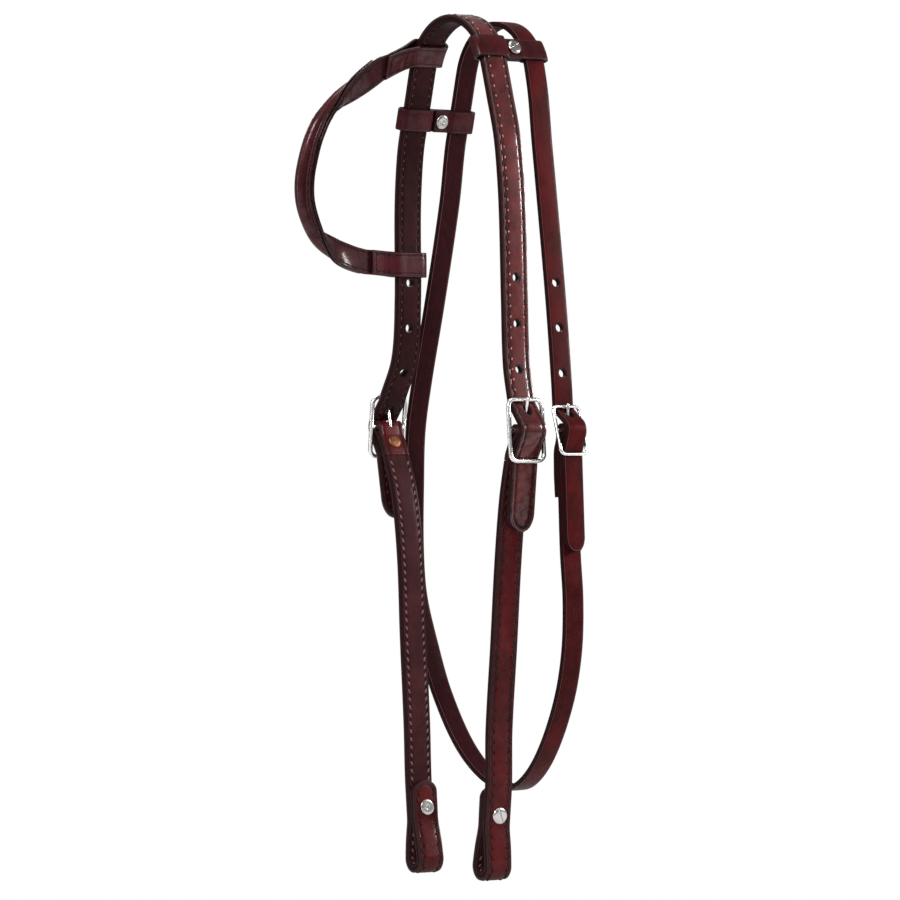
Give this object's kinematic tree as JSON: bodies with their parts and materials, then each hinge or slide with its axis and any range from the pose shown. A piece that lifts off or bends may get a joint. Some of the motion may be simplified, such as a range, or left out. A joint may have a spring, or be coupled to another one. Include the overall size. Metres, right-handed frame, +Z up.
{
  "type": "western headstall",
  "caption": "Leather western headstall with a slip ear loop, stitched crown and cheek straps, a throat strap, buckles, keepers and screw-closed bit ends.",
  "frame": {"origin": "the poll: middle of the crown strap's underside at the top of its arch", "axes": "+Z up, +X towards the horse's near (left) side, -Y forwards, towards the nose"},
  "size_m": [0.1639, 0.1231, 0.4908],
  "materials": {
    "leather_face": "burgundy bridle leather, waxed to a gloss",
    "leather_lining": "dark brown-red bridle leather, satin",
    "nickel": "bright nickel plate",
    "copper": "plain copper rivets",
    "filler_cord": "plain filler cord inside the ear roll"
  },
  "bodies": {
    "crown": {"crown_outer": "leather_face", "crown_lining": "leather_lining", "throat_strap": "leather_face", "ear_backing": "leather_lining", "ear_cover": "leather_face", "ear_core": "filler_cord", "near_buckle_frame": "nickel", "off_buckle_frame": "nickel", "throat_buckle_frame": "nickel", "throat_rivet": "copper", "throat_rivet_burr": "copper"},
    "near_cheek": {"near_cheek_outer": "leather_face", "near_cheek_lining": "leather_lining", "near_rivet": "copper", "near_rivet_burr": "copper", "near_bit_post": "nickel"},
    "near_bit_screw_turned": {"near_bit_screw": "nickel"},
    "near_tongue": {"near_buckle_tongue": "nickel"},
    "near_keeper_band": {"near_keeper": "leather_face", "near_keeper_post": "nickel"},
    "near_keeper_screw_turned": {"near_keeper_screw": "nickel"},
    "off_cheek": {"off_cheek_outer": "leather_face", "off_cheek_lining": "leather_lining", "off_rivet": "copper", "off_rivet_burr": "copper", "off_bit_post": "nickel"},
    "off_bit_screw_turned": {"off_bit_screw": "nickel"},
    "off_tongue": {"off_buckle_tongue": "nickel"},
    "off_keeper_band": {"off_keeper": "leather_face", "off_keeper_post": "nickel"},
    "off_keeper_screw_turned": {"off_keeper_screw": "nickel"},
    "throat_tongue": {"throat_buckle_tongue": "nickel"}
  },
  "joints": [
    {"name": "near_cheek_swing", "type": "hinge", "parent": "crown", "child": "near_cheek", "pos_m": [0.0665, 0, -0.2327], "axis": [0, 1, 0], "range_deg": [0, 5.5]},
    {"name": "near_tongue_lift", "type": "hinge", "parent": "crown", "child": "near_tongue", "pos_m": [0.0665, 0, -0.2327], "axis": [0, 1, 0], "range_deg": [0, 8]},
    {"name": "near_bit_screw_turn", "type": "hinge", "parent": "near_cheek", "child": "near_bit_screw_turned", "pos_m": [0.036, 0, -0.4494], "axis": [0.9962, 0, -0.0872], "continuous": true},
    {"name": "off_cheek_swing", "type": "hinge", "parent": "crown", "child": "off_cheek", "pos_m": [-0.071, 0, -0.2302], "axis": [0, -1, 0], "range_deg": [0, 5.5]},
    {"name": "off_tongue_lift", "type": "hinge", "parent": "crown", "child": "off_tongue", "pos_m": [-0.071, 0, -0.2302], "axis": [0, -1, 0], "range_deg": [0, 8]},
    {"name": "off_bit_screw_turn", "type": "hinge", "parent": "off_cheek", "child": "off_bit_screw_turned", "pos_m": [-0.036, 0, -0.4494], "axis": [-0.9962, 0, -0.0872], "continuous": true},
    {"name": "throat_tongue_lift", "type": "hinge", "parent": "crown", "child": "throat_tongue", "pos_m": [0.0755, 0.0238, -0.2327], "axis": [0, 1, 0], "range_deg": [0, 14]},
    {"name": "near_keeper_shift", "type": "hinge", "parent": "crown", "child": "near_keeper_band", "pos_m": [0, 0, -0.03435], "axis": [0, 1, 0], "range_deg": [-20, 3]},
    {"name": "off_keeper_shift", "type": "slide", "parent": "crown", "child": "off_keeper_band", "axis": [-0.2588, 0, -0.9659], "range_m": [-0.01, 0.008]},
    {"name": "near_keeper_screw_turn", "type": "hinge", "parent": "near_keeper_band", "child": "near_keeper_screw_turned", "pos_m": [0.03079, 0.01555, -0.01709], "axis": [0.8721, 0, 0.4894], "continuous": true},
    {"name": "off_keeper_screw_turn", "type": "hinge", "parent": "off_keeper_band", "child": "off_keeper_screw_turned", "pos_m": [-0.04163, 0.01555, -0.05333], "axis": [-0.9659, 0, 0.2588], "continuous": true}
  ]
}
